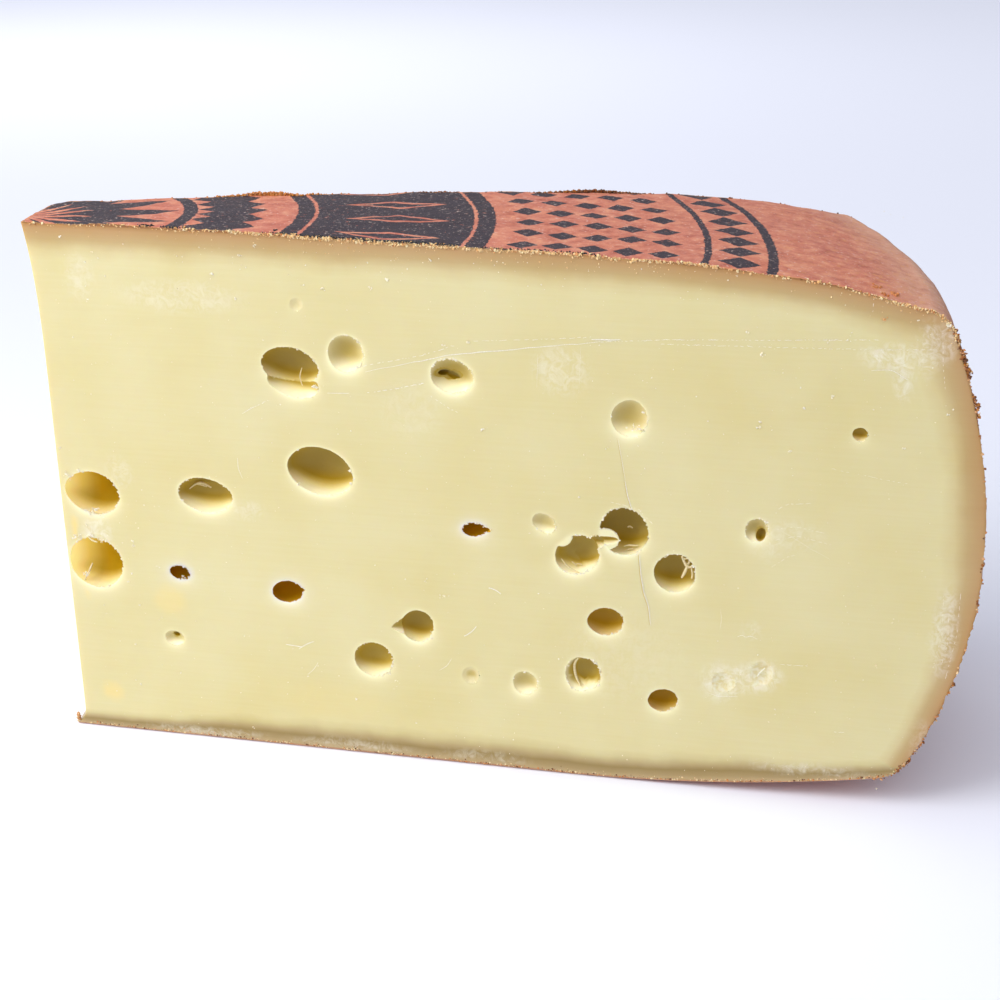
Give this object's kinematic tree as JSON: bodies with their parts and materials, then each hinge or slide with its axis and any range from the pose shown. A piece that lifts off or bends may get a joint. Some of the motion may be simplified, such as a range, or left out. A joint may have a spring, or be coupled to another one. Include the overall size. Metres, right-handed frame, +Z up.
{
  "type": "cut piece of emmental cheese",
  "caption": "Large wedge-shaped cut piece of a hard cheese wheel: pale yellow cut faces with round eyes, under a domed, reddish-brown rind.",
  "frame": {"origin": "middle of the bottom of the bounding box, on the surface the piece stands on", "axes": "+Z up, +X from the tip of the wedge towards the heel of the wheel, the large front cut faces -Y"},
  "size_m": [0.4, 0.1672, 0.2366],
  "materials": {
    "paste": "pale yellow cheese paste, smooth where the knife cut it, slightly moist and translucent",
    "rind": "dry reddish-brown rind, matt and slightly scuffed, with a dark print on its top"
  },
  "bodies": {
    "root": {"emmental": "paste"}
  },
  "joints": []
}
